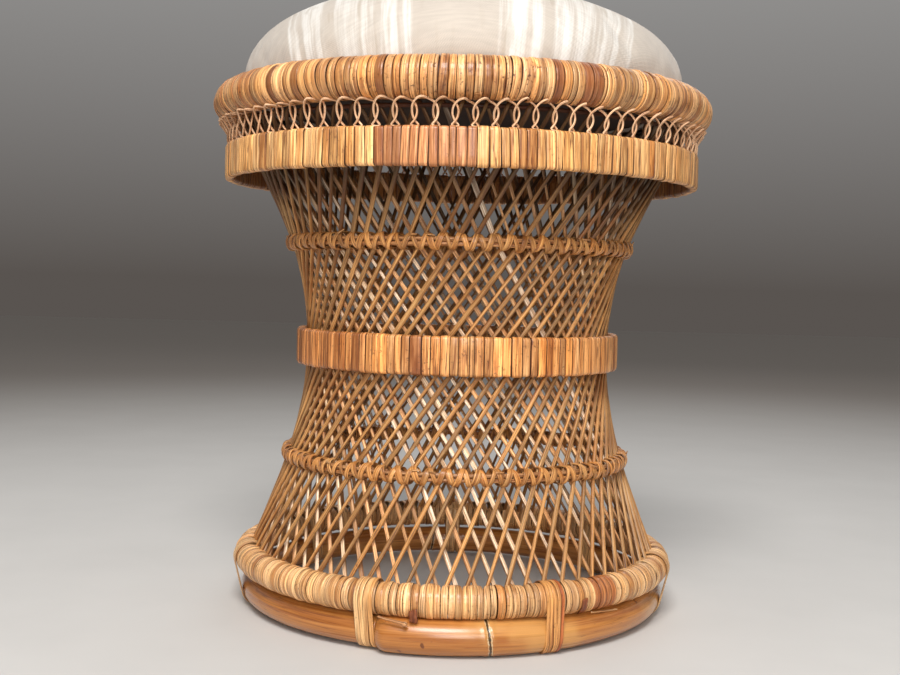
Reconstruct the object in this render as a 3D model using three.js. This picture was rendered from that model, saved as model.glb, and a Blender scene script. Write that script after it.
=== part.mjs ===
// A mudda stool: a waisted drum of crossed cane reeds between a foot ring and a fat wrapped rim, on a bent
// pole, with a drop-in upholstered pad.
// Millimetres, +Z up. The origin is on the floor under the middle, and the front faces -Y.
import * as THREE from "three";

// Fits
const clearance = 0.3; // between pieces that touch
const layerClearance = 0.5; // between the two crossing layers of reeds
const slitWidth = 0.8; // the seam of each peel winding, on its hidden side

// Counts
const ringSegments = 36; // straight lengths round every hoop
const reedPitches = 72; // reeds of each layer round the stool
const passesPerReed = 3; // times that one length of reed goes up and down again
const laceLoops = 87; // loops of the cane lace round the stool
const laceSteps = 6; // straight lengths of one loop

// Bent pole that the stool stands on
const poleRadius = 11.6;
const poleHoopRadius = 154;

// Foot ring on top of the pole
const footHoopRadius = 157;
const footRingRadius = 11.2;
const footWrapThickness = 1.3;
const footCoreRadius = 3.7;
const footSlotAngles = [0, 290]; // the winding runs from the top, over the outside, to the reeds' inner side

// Peel lashings that tie the foot ring to the pole
const lashingThickness = 1;
const lashingWidth = 16;
const lashingBend = 30; // degrees by which a lashing turns at each bend
const lashingBends = 10;
const lashingTurnShares = [-0.208, -0.056, 0.068, 0.206, 0.349, 0.5, 0.651];

// Split cane reeds
const reedWidth = 3.6;
const reedThickness = 2.2;
const turnHoopRadius = 1.5; // thin hoops that the reeds turn round
const footLeanAngle = 22; // degrees by which the reeds lean in at the foot
const topLeanAngle = 28; // degrees by which they lean out under the rim

// Places where both layers cross or are tied: height, mean radius and share of the turn from foot to top
const lowerRingHeight = 114;
const lowerRingRadius = 127.1;
const lowerRingTurnShare = 1 / 6;
const waistHeight = 196;
const waistRadius = 113.9;
const waistTurnShare = 16 / 33;
const upperRingHeight = 274;
const upperRingRadius = 126.7;
const upperRingTurnShare = 53 / 66;
const passPitches = 33; // reed pitches that one length moves on while it goes up and down again

// Hoops tied to the lattice
const lowerHoopThickness = 5.2;
const lowerHoopHeight = 7;
const upperHoopThickness = 3.8;
const upperHoopHeight = 6;
const innerHoopThickness = 3.6;

// Band round the waist
const waistBandThickness = 6.6;
const waistBandHeight = 27.5;
const waistInnerHoopThickness = 4.5;

// Peel windings of the flat bands
const bandWrapThickness = 1.2;

// Rim
const rimHeight = 376.3;
const rimHoopRadius = 175.4;
const rimRadius = 14.05;
const rimWrapThickness = 1.5;

// Apron band that hangs under the rim on the lace
const apronOuterRadius = 180.4;
const apronThickness = 7;
const apronBandHeight = 25.8;
const apronDrop = 30.9; // from the rim's centre line down to the apron's top edge

// Cane lace
const laceCaneRadius = 0.8;
const laceLoopHalfWidth = 10.5; // how far a loop's two sides swing from its steady advance
const laceCrossing = 2.2; // how far a loop's two sides stand behind and in front of its middle
const laceRimAngle = 28; // degrees outwards from the rim's underside where the loops touch it

// Drop-in pad
const ledgeRadius = 4.5;
const ledgeAngle = 75; // degrees inwards from the rim's underside
const boardThickness = 8;
const padClearance = 0.6;
const padInset = 9; // from the rim's centre line in to the pad's widest line
const padBulgeLift = 17.7; // from the rim's centre line up to the pad's widest line
const crownHeight = 71;
const crownPower = 2.2; // 2 is an ellipse, more is squarer
const padSideAngles = [310, 295]; // places on the rim's section that the pad's sides follow, from straight up
const coverThickness = 1.2;
const hemWidth = 12;

const radians = THREE.MathUtils.degToRad;
const fullTurn = 2 * Math.PI;
const turnDegrees = THREE.MathUtils.radToDeg(fullTurn);
const facetShare = 1 / Math.cos(Math.PI / ringSegments); // corner radius over flat radius of a hoop

// Materials
function material(color, roughness) {
  return new THREE.MeshStandardMaterial({ color, roughness, metalness: 0 });
}
const poleCane = material(0xa5642d, 0.25);
const reedCane = material(0xcd9a66, 0.55);
const ringCane = material(0xc08a4c, 0.5);
const rimPeel = material(0xc88c46, 0.45);
const apronPeel = material(0xe1a55f, 0.45);
const waistPeel = material(0xe1964b, 0.45);
const footPeel = material(0xe1b97d, 0.45);
const laceCane = material(0xbe8c64, 0.55);
const coreCane = material(0xb07c46, 0.6);
const plywood = material(0xc9a877, 0.7);
const foam = material(0xe9e2c8, 0.95);
const padCloth = material(0xd9cfbb, 0.95);

const group = new THREE.Group();

function addPiece(name, geometry, finish) {
  const piece = new THREE.Mesh(geometry, finish);
  piece.name = name;
  group.add(piece);
  return piece;
}

// A point at a radius, a bearing from the front, and a height
function polar(radius, bearing, z) {
  return new THREE.Vector3(radius * Math.sin(bearing), -radius * Math.cos(bearing), z);
}

// Twice the area of a closed outline, positive where it runs anticlockwise
function turningArea(outline) {
  return outline.reduce((sum, [x, y], i) => {
    const [nextX, nextY] = outline[(i + 1) % outline.length];
    return sum + x * nextY - nextX * y;
  }, 0);
}

// A round solid from an outline of [radius, height] points that starts and ends on the axis
function turned(outline) {
  const ordered = turningArea(outline) > 0 ? outline : [...outline].reverse();
  const points = ordered.map(([r, z]) => new THREE.Vector2(r, z));
  return new THREE.LatheGeometry(points, ringSegments).rotateX(Math.PI / 2);
}

// A hoop from an outline that closes on itself
function hoop(outline) {
  return turned([...outline, outline[0]]);
}

// The point of a section circle at an angle from straight up, turning outwards
function onSection(centreRadius, centreHeight, reach, degrees) {
  const angle = radians(degrees);
  return [centreRadius + reach * Math.sin(angle), centreHeight + reach * Math.cos(angle)];
}

// A round section with a number of sides and a flat underneath
function roundSection(centreRadius, centreHeight, radius, sides) {
  const step = turnDegrees / sides;
  return Array.from({ length: sides }, (_, i) =>
    onSection(centreRadius, centreHeight, radius, step * (i + 0.5) + turnDegrees / 2),
  );
}

// The section of a winding round a round core: an open ring from one angle to another
function windingSection(centreRadius, centreHeight, radius, thickness, from, to, steps) {
  const angles = Array.from({ length: steps + 1 }, (_, i) => from + ((to - from) * i) / steps);
  const outside = angles.map((a) => onSection(centreRadius, centreHeight, radius, a));
  const inside = angles.map((a) => onSection(centreRadius, centreHeight, radius - thickness, a));
  return [...outside, ...inside.reverse()];
}

// A rectangular section between two radii and two heights
function bandSection(innerRadius, outerRadius, bottom, top) {
  return [
    [innerRadius, bottom],
    [outerRadius, bottom],
    [outerRadius, top],
    [innerRadius, top],
  ];
}

// The section of a winding round a flat band, with its seam under the top on the inner side
function bandWinding(innerRadius, outerRadius, bottom, top) {
  const wall = bandWrapThickness;
  const seam = top - wall - slitWidth;
  return [
    [innerRadius, seam],
    [innerRadius, bottom],
    [outerRadius, bottom],
    [outerRadius, top],
    [innerRadius, top],
    [innerRadius, top - wall],
    [outerRadius - wall, top - wall],
    [outerRadius - wall, bottom + wall],
    [innerRadius + wall, bottom + wall],
    [innerRadius + wall, seam],
  ];
}

// A solid through a row of sections with equal counts of corners, closed on itself or capped.
// Each long face is split along the diagonal that lies deeper, so that a twisted length never bulges.
function sweptSolid(sections, closed) {
  const corners = sections[0].length;
  const positions = sections.flat().flatMap((p) => [p.x, p.y, p.z]);
  const faces = [];
  const spans = closed ? sections.length : sections.length - 1;
  for (let i = 0; i < spans; i++) {
    const next = (i + 1) % sections.length;
    const middle = new THREE.Vector3();
    [...sections[i], ...sections[next]].forEach((p) => middle.addScaledVector(p, 0.5 / corners));
    for (let j = 0; j < corners; j++) {
      const k = (j + 1) % corners;
      const rising = new THREE.Vector3().lerpVectors(sections[i][j], sections[next][k], 0.5);
      const falling = new THREE.Vector3().lerpVectors(sections[i][k], sections[next][j], 0.5);
      const [a, b] = [i * corners + j, i * corners + k];
      const [c, d] = [next * corners + k, next * corners + j];
      if (rising.distanceTo(middle) < falling.distanceTo(middle)) faces.push([a, b, c], [a, c, d]);
      else faces.push([a, b, d], [b, c, d]);
    }
  }
  if (!closed) {
    const last = (sections.length - 1) * corners;
    for (let j = 1; j < corners - 1; j++) {
      faces.push([0, j + 1, j], [last, last + j, last + j + 1]);
    }
  }
  const at = (i) => new THREE.Vector3().fromArray(positions, 3 * i);
  const volume = faces.reduce((sum, [a, b, c]) => sum + at(a).dot(at(b).cross(at(c))), 0);
  const outward = volume > 0 ? faces : faces.map(([a, b, c]) => [a, c, b]);
  return new THREE.BufferGeometry()
    .setAttribute("position", new THREE.Float32BufferAttribute(positions, 3))
    .setIndex(outward.flat());
}

// Foot: heights from the floor up
const poleHeight = lashingThickness + clearance + poleRadius;
const footHeight = poleHeight + poleRadius + clearance + footRingRadius;
const poleSides = 8;
const footWrapSteps = 7;
const footWrapInside = footRingRadius - footWrapThickness;
const footWrapStep = (footSlotAngles[1] - footSlotAngles[0]) / footWrapSteps;
const footWrapFlat = footWrapInside * Math.cos(radians(footWrapStep / 2));
const footCoreHeight = footHeight - footWrapFlat + clearance + footCoreRadius;

addPiece("base_hoop", hoop(roundSection(poleHoopRadius, poleHeight, poleRadius, poleSides)), poleCane);

const footCoreSides = 6;
const footCore = roundSection(footHoopRadius, footCoreHeight, footCoreRadius, footCoreSides);
addPiece("foot_ring_core", hoop(footCore), coreCane);

const footWrap = windingSection(
  footHoopRadius,
  footHeight,
  footRingRadius,
  footWrapThickness,
  footSlotAngles[0],
  footSlotAngles[1],
  footWrapSteps,
);
addPiece("foot_ring_wrap", hoop(footWrap), footPeel);

// Lashings: open bands round the foot ring and the pole, whose ends tuck in beside the reeds
const facetDepth = footHoopRadius * (1 - 1 / facetShare) + lashingWidth ** 2 / (8 * poleHoopRadius);
function lashingPath() {
  const poleReach = poleRadius + clearance + lashingThickness / 2;
  const footReach = footRingRadius + clearance + lashingThickness / 2;
  const cornerShare = 1 / Math.cos(radians(lashingBend / 2));
  const bends = Array.from({ length: lashingBends }, (_, i) => {
    const degrees = lashingBend * (i + 0.5);
    const [r, z] =
      Math.cos(radians(degrees)) < 0
        ? onSection(poleHoopRadius, poleHeight, poleReach * cornerShare, degrees)
        : onSection(footHoopRadius, footHeight, footReach * cornerShare, degrees);
    return [degrees > turnDegrees / 2 ? r - facetDepth : r, z];
  });
  return [[footHoopRadius, footHeight + footReach], ...bends];
}

// Sections of a flat strip along a path of [radius, height] points, square to it at every bend
function stripSections(path, bearing, width, thickness) {
  const across = new THREE.Vector3(Math.cos(bearing), Math.sin(bearing), 0).multiplyScalar(width / 2);
  const points = path.map(([r, z]) => polar(r, bearing, z));
  return points.map((point, i) => {
    const before = point.clone().sub(points[Math.max(i - 1, 0)]).normalize();
    const after = points[Math.min(i + 1, points.length - 1)].clone().sub(point).normalize();
    const along = before.clone().add(after).normalize();
    const single = i === 0 || i === points.length - 1;
    const mitre = single ? 1 : 1 / along.dot(before);
    const out = new THREE.Vector3().crossVectors(across, along).normalize();
    out.multiplyScalar((thickness / 2) * mitre);
    return [
      [1, 1],
      [-1, 1],
      [-1, -1],
      [1, -1],
    ].map(([a, o]) => point.clone().addScaledVector(across, a).addScaledVector(out, o));
  });
}

lashingTurnShares.forEach((share, i) => {
  const sections = stripSections(lashingPath(), fullTurn * share, lashingWidth, lashingThickness);
  addPiece(`foot_lashing_${i + 1}`, sweptSolid(sections, false), footPeel);
});

const topPitches = passPitches / 2;
const lowerRingPitches = lowerRingTurnShare * topPitches;
const waistPitches = waistTurnShare * topPitches;
const upperRingPitches = upperRingTurnShare * topPitches;

// Lattice: the reeds rise as the outer layer, turn over a thin hoop under the rim, come down as the inner
// layer and turn round a thin hoop at the foot, always moving on the same way round the stool.
const layerOffset = (reedThickness + layerClearance) / 2;
const facetPlay = (rimHoopRadius * (facetShare - 1)) / 2; // half the depth of a hoop's facets
const turnReach = turnHoopRadius + facetPlay + clearance + reedThickness / 2;
const turnStack = turnReach + reedThickness / 2 + clearance;

// The reeds' lean in the radial plane: along the reed upwards, and out of its face
function leanFrame(degrees) {
  const along = [Math.sin(radians(degrees)), Math.cos(radians(degrees))];
  return { along, out: [along[1], -along[0]] };
}
const footFrame = leanFrame(-footLeanAngle);
const topFrame = leanFrame(topLeanAngle);
const footTurnRadius = footHoopRadius + footFrame.along[0] * (footCoreRadius + turnStack);
const footTurnHeight = footCoreHeight + footFrame.along[1] * (footCoreRadius + turnStack);
const topTurnRadius = rimHoopRadius - topFrame.along[0] * (rimRadius + turnStack);
const topTurnHeight = rimHeight - topFrame.along[1] * (rimRadius + turnStack);

const turnHoopSides = 4;
const footTurnHoop = roundSection(footTurnRadius + facetPlay, footTurnHeight, turnHoopRadius, turnHoopSides);
const topTurnHoop = roundSection(topTurnRadius + facetPlay, topTurnHeight, turnHoopRadius, turnHoopSides);
addPiece("foot_turn_hoop", hoop(footTurnHoop), coreCane);
addPiece("top_turn_hoop", hoop(topTurnHoop), coreCane);

// One reed place: its radius and height, the side of the lattice that it is on, and at a turn the way that
// its outer face looks in the radial plane
function crossing(radius, height, side) {
  return { radius: radius + side * layerOffset, height, side };
}
function turnCorner(radius, height, frame, side, end) {
  const shift = (axis) => turnReach * (side * frame.out[axis] + end * frame.along[axis]);
  const face = [0, 1].map((axis) => side * frame.out[axis] + end * frame.along[axis]);
  return { radius: radius + shift(0), height: height + shift(1), side, face };
}
function reedEnd(side) {
  return {
    radius: footTurnRadius + side * turnReach * footFrame.out[0],
    height: footTurnHeight + side * turnReach * footFrame.out[1],
    side,
  };
}

// The places of one length of reed, each with the pitches that it has turned since the first foot place
function reedPlaces() {
  const places = [];
  const add = (place, pitches) => places.push({ ...place, pitches });
  for (let pass = 0; pass < passesPerReed; pass++) {
    const start = passPitches * pass;
    const finish = start + passPitches;
    if (pass === 0) add(reedEnd(1), start);
    else add(turnCorner(footTurnRadius, footTurnHeight, footFrame, 1, -1), start);
    add(crossing(lowerRingRadius, lowerRingHeight, 1), start + lowerRingPitches);
    add(crossing(waistRadius, waistHeight, 1), start + waistPitches);
    add(crossing(upperRingRadius, upperRingHeight, 1), start + upperRingPitches);
    add(turnCorner(topTurnRadius, topTurnHeight, topFrame, 1, 1), start + topPitches);
    add(turnCorner(topTurnRadius, topTurnHeight, topFrame, -1, 1), start + topPitches);
    add(crossing(upperRingRadius, upperRingHeight, -1), finish - upperRingPitches);
    add(crossing(waistRadius, waistHeight, -1), finish - waistPitches);
    add(crossing(lowerRingRadius, lowerRingHeight, -1), finish - lowerRingPitches);
    if (pass === passesPerReed - 1) add(reedEnd(-1), finish);
    else add(turnCorner(footTurnRadius, footTurnHeight, footFrame, -1, -1), finish);
  }
  return places;
}

// A flat reed through its places, from a foot place counted in pitches from the front
function reedGeometry(firstPitch) {
  const places = reedPlaces();
  const bearings = places.map((p) => (fullTurn * (firstPitch + p.pitches)) / reedPitches);
  const points = places.map((p, i) => polar(p.radius, bearings[i], p.height));
  const sections = places.map((place, i) => {
    const point = points[i];
    const ahead = points[Math.min(i + 1, points.length - 1)].clone().sub(point).normalize();
    const behind = point.clone().sub(points[Math.max(i - 1, 0)]).normalize();
    const along = ahead.clone().add(behind).normalize();
    const mitre = 1 / along.dot(i === 0 ? ahead : behind);
    const lean = along.dot(polar(1, bearings[i], 0)) / along.z;
    const face = place.face ?? [place.side, -place.side * lean];
    const out = polar(face[0], bearings[i], face[1]);
    out.addScaledVector(along, -out.dot(along)).normalize();
    const across = new THREE.Vector3().crossVectors(out, along).multiplyScalar(reedWidth / 2);
    out.multiplyScalar((reedThickness / 2) * mitre);
    return [
      [1, 1],
      [-1, 1],
      [-1, -1],
      [1, -1],
    ].map(([a, o]) => point.clone().addScaledVector(across, a).addScaledVector(out, o));
  });
  return sweptSolid(sections, false);
}

// One length ends where the next one starts, and the lengths fall into cycles that share no foot place
const pitchesPerReed = passPitches * passesPerReed;
function footPlaceOrder() {
  const taken = new Set();
  const firsts = [];
  for (let cycle = 0; firsts.length < reedPitches / passesPerReed; cycle++) {
    let place = cycle;
    while (!taken.has(place) && firsts.length < reedPitches / passesPerReed) {
      firsts.push(place);
      taken.add(place);
      place = (place + pitchesPerReed) % reedPitches;
    }
  }
  return firsts;
}
const firstReedShare = 0.54; // of a pitch, between the front and the first foot place
footPlaceOrder().forEach((place, i) => {
  const name = `lattice_reed_${String(i + 1).padStart(2, "0")}`;
  addPiece(name, reedGeometry(place + firstReedShare), reedCane);
});

// The mean radius of the two layers at a height, along straight reeds from place to place
const latticePlaces = [
  [footTurnRadius, footTurnHeight, 0],
  [lowerRingRadius, lowerRingHeight, lowerRingPitches],
  [waistRadius, waistHeight, waistPitches],
  [upperRingRadius, upperRingHeight, upperRingPitches],
  [topTurnRadius, topTurnHeight, topPitches],
];
function latticeRadius(height) {
  const upper = latticePlaces.findIndex(([, z], i) => i > 0 && z >= height);
  const [r0, z0, pitch0] = latticePlaces[upper - 1];
  const [r1, z1, pitch1] = latticePlaces[upper];
  const turn = (fullTurn * (pitch1 - pitch0)) / reedPitches;
  return polar(r0, 0, z0).lerp(polar(r1, turn, z1), (height - z0) / (z1 - z0)).setZ(0).length();
}

// A thin hoop that lies against the inside of the lattice
const latticeHalf = layerOffset + reedThickness / 2 / Math.cos(radians(topLeanAngle)) + clearance;
function insideHoop(name, height, thickness) {
  const [bottom, top] = [height - thickness / 2, height + thickness / 2];
  const outer = Math.min(latticeRadius(bottom), latticeRadius(top)) - latticeHalf;
  addPiece(name, hoop(bandSection(outer - thickness, outer, bottom, top)), ringCane);
}

// Hoops that clamp the lattice from outside and inside at the two tied rings
function tiedHoops(name, height, thickness, tall) {
  const [low, high] = [height - tall / 4, height + tall / 4];
  const [innerLow, innerHigh] = [low, high].map((z) => (latticeRadius(z) + latticeHalf) * facetShare);
  const outer = Math.min(innerLow, innerHigh) + thickness;
  const sides = [
    [innerLow, low],
    [(innerLow + outer) / 2, height - tall / 2],
    [outer, height],
    [(innerHigh + outer) / 2, height + tall / 2],
    [innerHigh, high],
  ];
  addPiece(`${name}_outer`, hoop(sides), ringCane);
  insideHoop(`${name}_inner`, height, innerHoopThickness);
}
tiedHoops("lower_ring", lowerRingHeight, lowerHoopThickness, lowerHoopHeight);
tiedHoops("upper_ring", upperRingHeight, upperHoopThickness, upperHoopHeight);

// Flat wrapped bands: a split hoop inside a peel winding
function wrappedBand(coreName, wrapName, innerRadius, outerRadius, bottom, top, finish) {
  const inset = bandWrapThickness + clearance;
  const core = bandSection(innerRadius + inset, outerRadius - inset, bottom + inset, top - inset);
  addPiece(coreName, hoop(core), coreCane);
  addPiece(wrapName, hoop(bandWinding(innerRadius, outerRadius, bottom, top)), finish);
}

const [waistBottom, waistTop] = [waistHeight - waistBandHeight / 2, waistHeight + waistBandHeight / 2];
const waistInner = (Math.max(latticeRadius(waistBottom), latticeRadius(waistTop)) + latticeHalf) * facetShare;
wrappedBand(
  "waist_hoop",
  "waist_wrap",
  waistInner,
  waistInner + waistBandThickness,
  waistBottom,
  waistTop,
  waistPeel,
);
insideHoop("waist_inner_hoop", waistHeight, waistInnerHoopThickness);

const apronTop = rimHeight - apronDrop;
wrappedBand(
  "apron_hoop",
  "apron_wrap",
  apronOuterRadius - apronThickness,
  apronOuterRadius,
  apronTop - apronBandHeight,
  apronTop,
  apronPeel,
);

// Rim: a thick hoop inside a peel winding, whose seam looks down between the reeds and the ledge
const rimSteps = 9;
const rimSeamAngle = (turnDegrees + topLeanAngle + ledgeAngle) / 2;
const rimSeamHalf = THREE.MathUtils.radToDeg(slitWidth / 2 / rimRadius);
const rimStep = (turnDegrees - 2 * rimSeamHalf) / rimSteps;
const rimWinding = windingSection(
  rimHoopRadius,
  rimHeight,
  rimRadius,
  rimWrapThickness,
  rimSeamAngle + rimSeamHalf,
  rimSeamAngle + turnDegrees - rimSeamHalf,
  rimSteps,
);
addPiece("rim_wrap", hoop(rimWinding), rimPeel);
const rimCoreSides = 5;
const rimFlatShare = Math.cos(radians(rimStep / 2)); // middle of a facet over its corner
const rimCoreRadius = (rimRadius - rimWrapThickness) * rimFlatShare - clearance;
addPiece("rim_core", hoop(roundSection(rimHoopRadius, rimHeight, rimCoreRadius, rimCoreSides)), coreCane);

// Lace: one cane in a row of loops that stand on the apron and lean on the rim's underside
const laceFoot = [
  apronOuterRadius - apronThickness / 2 + laceCaneRadius,
  apronTop + clearance + laceCaneRadius,
];
const laceHead = onSection(
  rimHoopRadius,
  rimHeight,
  rimRadius + clearance + laceCaneRadius,
  turnDegrees / 2 - laceRimAngle,
);
const laceMiddleRadius = (laceFoot[0] + laceHead[0]) / 2;
function lacePoint(step) {
  const phase = (fullTurn * step) / laceSteps;
  const rise = (1 + Math.sin(phase)) / 2;
  const radius = THREE.MathUtils.lerp(laceFoot[0], laceHead[0], rise) - laceCrossing * Math.cos(phase);
  const height = THREE.MathUtils.lerp(laceFoot[1], laceHead[1], rise);
  const swing = (laceLoopHalfWidth * Math.cos(phase)) / laceMiddleRadius;
  const bearing = (fullTurn * step) / (laceSteps * laceLoops) + swing;
  return { point: polar(radius, bearing, height), bearing };
}
const laceStart = laceSteps / 4;
const lacePoints = Array.from({ length: laceLoops * laceSteps }, (_, i) => lacePoint(i + laceStart));
const caneCorners = 3;
const laceSections = lacePoints.map(({ point, bearing }, i) => {
  const count = lacePoints.length;
  const ahead = lacePoints[(i + 1) % count].point;
  const behind = lacePoints[(i + count - 1) % count].point;
  const along = ahead.clone().sub(behind).normalize();
  const out = polar(1, bearing, 0);
  out.addScaledVector(along, -out.dot(along)).normalize();
  const across = new THREE.Vector3().crossVectors(out, along);
  return Array.from({ length: caneCorners }, (_, j) => {
    const angle = (fullTurn * j) / caneCorners;
    return point
      .clone()
      .addScaledVector(out, laceCaneRadius * Math.cos(angle))
      .addScaledVector(across, laceCaneRadius * Math.sin(angle));
  });
});
addPiece("loop_lace", sweptSolid(laceSections, true), laceCane);

// The least gap between the loops, measured on points along the straight lengths
function leastLaceGap() {
  const fine = [];
  const perLength = 8;
  for (let i = 0; i < 3 * laceSteps; i++) {
    for (let j = 0; j < perLength; j++) {
      fine.push(lacePoints[i].point.clone().lerp(lacePoints[i + 1].point, j / perLength));
    }
  }
  const apart = (laceSteps * perLength) / 3;
  let least = Infinity;
  for (let i = 0; i < fine.length; i++) {
    for (let j = i + apart; j < fine.length; j++) {
      least = Math.min(least, fine[i].distanceTo(fine[j]));
    }
  }
  return least - 2 * laceCaneRadius;
}
console.log(`least gap between the lace loops ${leastLaceGap().toFixed(2)} mm`);

// Ledge inside the rim that carries the pad
const ledgeSides = 6;
const [ledgeHoopRadius, ledgeHeight] = onSection(
  rimHoopRadius,
  rimHeight,
  rimRadius * rimFlatShare + clearance + ledgeRadius,
  turnDegrees / 2 + ledgeAngle,
);
addPiece("seat_ledge", hoop(roundSection(ledgeHoopRadius, ledgeHeight, ledgeRadius, ledgeSides)), coreCane);

// Pad: a board, a foam dome and a cover whose hem is turned in under the board
const padBottom = ledgeHeight + ledgeRadius * Math.cos(Math.PI / ledgeSides) + clearance;
const boardBottom = padBottom + coverThickness + clearance;
const boardTop = boardBottom + boardThickness;
const padEdgeRadius = rimHoopRadius - rimRadius - padClearance;
const boardRadius = padEdgeRadius - coverThickness - clearance;

// The pad's outline from its crown down to its bottom edge, drawn in by an inset
function padOutline(inset, crownSteps) {
  const widest = rimHoopRadius - padInset - inset;
  const crown = Array.from({ length: crownSteps + 1 }, (_, i) => {
    const angle = (Math.PI / 2) * (1 - i / crownSteps);
    const across = Math.cos(angle) ** (2 / crownPower);
    const up = Math.sin(angle) ** (2 / crownPower);
    return [i === 0 ? 0 : widest * across, rimHeight + padBulgeLift + (crownHeight - inset) * up];
  });
  const sides = padSideAngles.map((a) =>
    onSection(rimHoopRadius, rimHeight, rimRadius + padClearance + inset, a),
  );
  return [...crown, ...sides, [padEdgeRadius - inset, padBottom + inset]];
}
const coverSteps = 6;
const foamSteps = 4;
const coverOutline = [
  ...padOutline(0, coverSteps),
  [boardRadius - hemWidth, padBottom],
  [boardRadius - hemWidth, padBottom + coverThickness],
  ...padOutline(coverThickness, foamSteps).reverse(),
];
addPiece("seat_cover", turned(coverOutline), padCloth);

const foamInset = coverThickness + padClearance;
const foamBottom = boardTop + clearance;
const foamOutline = padOutline(foamInset, foamSteps);
const foamCut = foamOutline.findIndex(([, z]) => z < foamBottom);
const [[aboveRadius, aboveHeight], [belowRadius, belowHeight]] = foamOutline.slice(foamCut - 1);
const cutShare = (aboveHeight - foamBottom) / (aboveHeight - belowHeight);
const foamEdge = THREE.MathUtils.lerp(aboveRadius, belowRadius, cutShare);
addPiece(
  "seat_foam",
  turned([...foamOutline.slice(0, foamCut), [foamEdge, foamBottom], [0, foamBottom]]),
  foam,
);

addPiece(
  "seat_board",
  turned([
    [0, boardTop],
    [boardRadius, boardTop],
    [boardRadius, boardBottom],
    [0, boardBottom],
  ]),
  plywood,
);

export default group;
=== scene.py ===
"""The looks of a mudda stool: a waisted drum of crossed cane reeds between a foot ring and a fat wrapped rim,
on a bent pole, with a drop-in upholstered pad.

Lengths are in millimetres and bearings in degrees round the stool from its front, positive towards the
photograph's right, until a mesh is made. Blender's own units are metres.
"""

import math

import bpy
import numpy as np
from mathutils import Matrix, Vector
from numpy.random import default_rng


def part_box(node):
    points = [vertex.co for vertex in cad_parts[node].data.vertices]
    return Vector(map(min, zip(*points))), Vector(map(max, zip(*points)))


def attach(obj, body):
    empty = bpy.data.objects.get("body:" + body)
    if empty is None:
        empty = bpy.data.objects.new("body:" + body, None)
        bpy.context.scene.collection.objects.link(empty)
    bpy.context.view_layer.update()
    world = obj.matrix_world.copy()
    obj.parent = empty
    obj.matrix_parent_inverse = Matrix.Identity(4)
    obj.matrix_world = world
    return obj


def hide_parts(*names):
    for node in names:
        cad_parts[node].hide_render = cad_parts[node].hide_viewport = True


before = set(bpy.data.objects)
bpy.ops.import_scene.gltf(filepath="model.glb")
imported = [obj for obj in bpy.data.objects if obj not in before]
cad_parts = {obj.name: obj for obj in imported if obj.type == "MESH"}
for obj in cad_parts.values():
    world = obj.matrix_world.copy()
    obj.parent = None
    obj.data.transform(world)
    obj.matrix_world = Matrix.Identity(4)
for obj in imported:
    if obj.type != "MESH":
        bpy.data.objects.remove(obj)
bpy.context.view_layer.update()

MM = 0.001
FULL_TURN = 360.0
FRAME_BODY = "stool_frame"
PAD_BODY = "seat_pad"

# Foot
FLOOR_CLEARANCE = 0.2
POLE_HEIGHT = 12.9
POLE_JOINT = -17.7
POLE_TURN_SHARES = [0, 0.005, 0.081, 0.125, 0.181, 0.25, 0.6, 1]
POLE_HOOP_RADII = [154, 158, 157.5, 156, 154, 152, 152, 152]
POLE_RADII = [11, 12.4, 12.4, 12.0, 11.4, 10.9, 10.7, 10.7]
POLE_RING_BEARINGS = [9.0, 96, 187, 262]
FOOT_HOOP_RADIUS = 157
FOOT_RING_HEIGHT = 36
FOOT_RING_RADIUS = 11.2
FOOT_SLOT_BEARING = 2.7
REED_PITCHES = 72
REED_PITCH = FULL_TURN / REED_PITCHES

# Lashings: bearing, strips and width
TIES = [
    (-74.9, 4, 15),
    (-20.1, 4, 13.8),
    (24.4, 5, 13.2),
    (74.2, 4, 14),
    (125.6, 4, 14),
    (180, 4, 14),
    (234.4, 4, 14),
]
BROWN_TIE = 2
TIE_THICKNESS = 0.9

# Lattice: height, mean radius of the two layers and reed pitches turned since the foot
LOWER_RING = (114, 127.1, 2.75)
WAIST = (196, 113.9, 8)
UPPER_RING = (274, 126.7, 13.25)
PASS_PITCHES = 33
PASSES_PER_REED = 3
LAYER_OFFSET = 1.35
REED_WIDTH = 2.8
REED_WIDTH_SPREAD = 0.55
REED_WIDTH_LIMITS = (1.8, 3.9)
REED_THICKNESS = 2.2
REED_STEP = 5.0
FIRST_REED_SHARE = 0.54
UPPER_SHADE = 0.72  # how much darker the reeds' hidden upper ends are

# Where the reeds turn: radius, height, and lean outwards in degrees
FOOT_TURN = (153.9, 38.5, -22)
TOP_TURN = (166.6, 359.8, 28)
TURN_REACH = 3.24
TURN_CANE_THICKNESS = 3

# Tied rings: two canes outside the lattice, and the peel that binds them
RING_CANE_RADIUS = 1.6
RING_CANE_GAP = 0.2
BINDING_RISE = 5.5
BINDING_HALF_WIDTH = 1.95
BINDING_THICKNESS = 1.0
BINDING_CLEARANCE = 0.3
LOOSE_ENDS = 12

# Rim, bands and lace
RIM_HEIGHT = 376.3
RIM_HOOP_RADIUS = 175.4
RIM_RADIUS = 14.05
RIM_PEEL_THICKNESS = 1.3
RIM_CORE_INSET = 1.5
FOOT_PEEL_THICKNESS = 1.2
BAND_PEEL_THICKNESS = 1.1
BAND_CORE_INSET = 1.25
APRON_THICKNESS = 7
WAIST_THICKNESS = 6.6
LACE_LOOPS = 87
LACE_RADIUS = 179.0
LACE_CANE_RADIUS = 0.74
LACE_HALF_HEIGHT = 8.9
LACE_HALF_WIDTH = 8.0
LACE_SINK = 0.6  # how far the loops go down into the apron's top
LACE_LENS_SHARE = 0.142  # where the first crossing of two loops lies, as a share of a loop

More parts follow.
